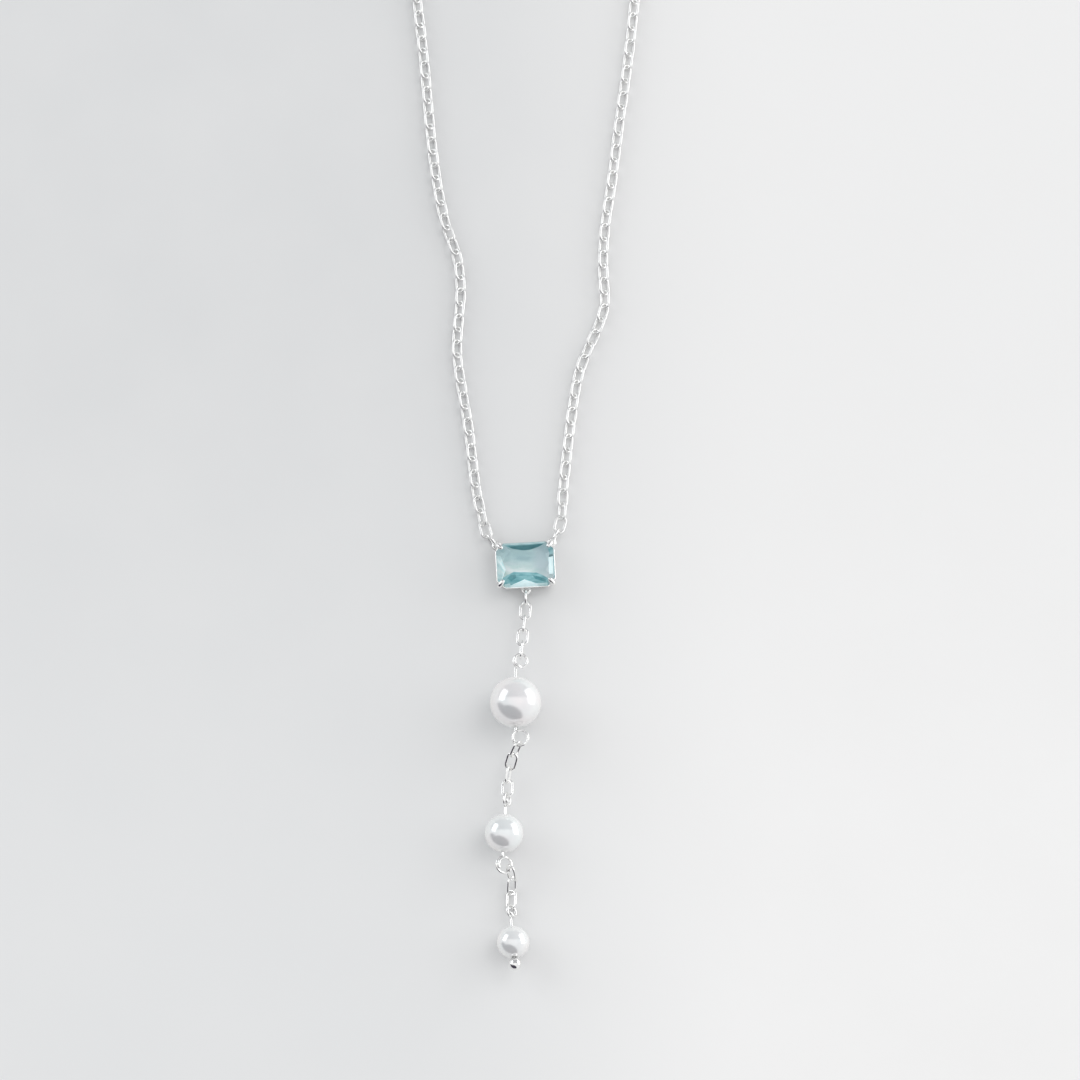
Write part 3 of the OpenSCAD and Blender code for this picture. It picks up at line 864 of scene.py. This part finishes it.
def floor_material():
    """A pale surface with painted light: a little lighter to the right and towards the drop."""
    material, nodes, links, output = new_material("pale_surface")
    shader = nodes.new("ShaderNodeBsdfPrincipled")
    across = ramp(nodes, links, "X", -19 * MM, 40 * MM)
    down = ramp(nodes, links, "Y", -15 * MM, -135 * MM)
    upper = mixed(nodes, links, across, *FLOOR_UPPER)
    lower = mixed(nodes, links, across, *FLOOR_LOWER)
    wide = mixed(nodes, links, down, upper, lower)
    mottled = mixed(nodes, links, noise(nodes, links, scale=45, detail=4.0, high=0.2), wide, FLOOR_MOTTLE)
    links.new(mottled, shader.inputs["Base Color"])
    shader.inputs["Roughness"].default_value = 0.55
    shader.inputs["Specular IOR Level"].default_value = 0.25
    links.new(bumped(nodes, links, 160, 0.06, 0.0002), shader.inputs["Normal"])
    links.new(shader.outputs["BSDF"], output.inputs["Surface"])
    return material


# Pieces

plain_silver = silver("silver_wire", 0.13, 0.25)
chain_silver = silver("silver_chain", 0.4, 0.2)
cast_silver = silver("silver_cast", 0.16, 0.35)
pearl_nacre = nacre("white_nacre")
crown_glass = glass("aqua_crown", CROWN_TINT)
facet_tones = [facet_field("aqua_table", stone_place().translation)] + [facet(*row) for row in PAINTED_FACETS]

for node in ("chain_left", "chain_right"):
    make_links(node, node + "_links", chain_silver, steps=8, sides=12)
for number in range(1, DROP_LINKS + 1):
    node = "drop_link_%d" % number
    make_links(node, node + "_wire", plain_silver, steps=16, sides=16)
for node in RING_CUTS:
    make_jump_ring(node, plain_silver)
for pin, pearl in PEARL_OF.items():
    make_pin(pin, plain_silver)
    make_pearl(pearl, pin, pearl_nacre)
make_setting(cast_silver)
make_stone(crown_glass, facet_tones)
make_clasp(cast_silver)


# The surface it lies on

def make_floor():
    mesh = bpy.data.meshes.new("floor")
    half = 2.0
    corners = [(-half, -half, 0), (half, -half, 0), (half, half, 0), (-half, half, 0)]
    mesh.from_pydata(corners, [], [(0, 1, 2, 3)])
    floor = bpy.data.objects.new("floor", mesh)
    mesh.materials.append(floor_material())
    bpy.context.scene.collection.objects.link(floor)


make_floor()


# Camera

TARGET = Vector((2.27, -63.71, 3.73)) * MM
RISE = math.radians(79)
DISTANCE = 0.7


def look(thing, place, at):
    """Stands a camera or lamp at a place and turns it to another."""
    thing.location = place
    thing.rotation_euler = (at - place).to_track_quat("-Z", "Y").to_euler()


camera = bpy.data.objects.new("camera", bpy.data.cameras.new("camera"))
camera.data.lens = 149.3
camera.data.sensor_width = 36
camera.data.clip_start = 0.05
camera.data.clip_end = 20
bpy.context.scene.collection.objects.link(camera)
look(camera, TARGET + DISTANCE * Vector((0, -math.cos(RISE), math.sin(RISE))), TARGET)
bpy.context.scene.camera = camera


# Light

def direction(azimuth, elevation):
    """Azimuth is counted from the right, the other way round than a clock."""
    a, e = math.radians(azimuth), math.radians(elevation)
    return Vector((math.cos(e) * math.cos(a), math.cos(e) * math.sin(a), math.sin(e)))


def lamp(name, azimuth, elevation, distance, width, height, radiance, colour, shows):
    """A soft panel seen from the necklace in one direction."""
    data = bpy.data.lights.new(name, "AREA")
    data.shape = "RECTANGLE"
    data.size, data.size_y = width, height
    data.energy = radiance * math.pi * width * height
    data.color = colour
    light = bpy.data.objects.new(name, data)
    bpy.context.scene.collection.objects.link(light)
    look(light, TARGET + distance * direction(azimuth, elevation), TARGET)
    light.visible_glossy = shows


# Azimuth and elevation in degrees, distance, width and height in metres, radiance, colour, and
# whether the panel shows in reflections
LAMPS = {
    "window_left": (152, 25, 1.5, 1.1, 0.75, 1.8, (0.95, 0.99, 1.0), True),
    "window_right": (20, 15, 1.5, 1.5, 0.84, 2.2, (1, 1, 1), True),
    "soft_key": (40, 50, 1.6, 0.9, 0.9, 1.5, (1.0, 0.99, 0.975), False),
}
for name, settings in LAMPS.items():
    lamp(name, *settings)

ROOM = (0.86, 0.87, 0.88, 1)
# What lies round the necklace, each tone laid over the ones before it: azimuth and elevation of its
# middle, the cosines to it at which the tone begins and is full, and the tone
ROOM_TONES = [
    (0, 90, 0.72, 0.95, (1.0, 1.0, 1.0, 1)),
    (90, 0, 0.2, 0.32, (0.45, 0.455, 0.475, 1)),
    (208, 6, 0.86, 0.93, (0.10, 0.09, 0.12, 1)),
    (249, 17, 0.64, 0.76, (0.06, 0.055, 0.075, 1)),
]
# The room as matt surfaces are lit by it
EVEN_ROOM = (0.765, 0.77, 0.775, 1)


def make_world():
    world = bpy.data.worlds.new("room")
    bpy.context.scene.world = world
    world.use_nodes = True
    nodes, links = world.node_tree.nodes, world.node_tree.links
    nodes.clear()
    output = nodes.new("ShaderNodeOutputWorld")
    background = nodes.new("ShaderNodeBackground")
    where = nodes.new("ShaderNodeTexCoord")

    def toward(middle, start, end):
        """One in a cone round a direction, falling to nothing between two cosines."""
        dot = nodes.new("ShaderNodeVectorMath")
        dot.operation = "DOT_PRODUCT"
        links.new(where.outputs["Generated"], dot.inputs[0])
        dot.inputs[1].default_value = tuple(middle)
        spread = nodes.new("ShaderNodeMapRange")
        spread.interpolation_type = "SMOOTHSTEP"
        spread.inputs["From Min"].default_value = start
        spread.inputs["From Max"].default_value = end
        links.new(dot.outputs["Value"], spread.inputs["Value"])
        return spread.outputs["Result"]

    tone = ROOM
    for azimuth, elevation, start, full, colour in ROOM_TONES:
        cone = toward(direction(azimuth, elevation), start, full)
        tone = mixed(nodes, links, cone, tone, colour)
    path = nodes.new("ShaderNodeLightPath")
    tone = mixed(nodes, links, path.outputs["Is Diffuse Ray"], tone, EVEN_ROOM)
    links.new(tone, background.inputs["Color"])
    links.new(background.outputs["Background"], output.inputs["Surface"])


make_world()
bpy.context.scene.view_settings.view_transform = "Standard"
bpy.context.scene.view_settings.look = "None"
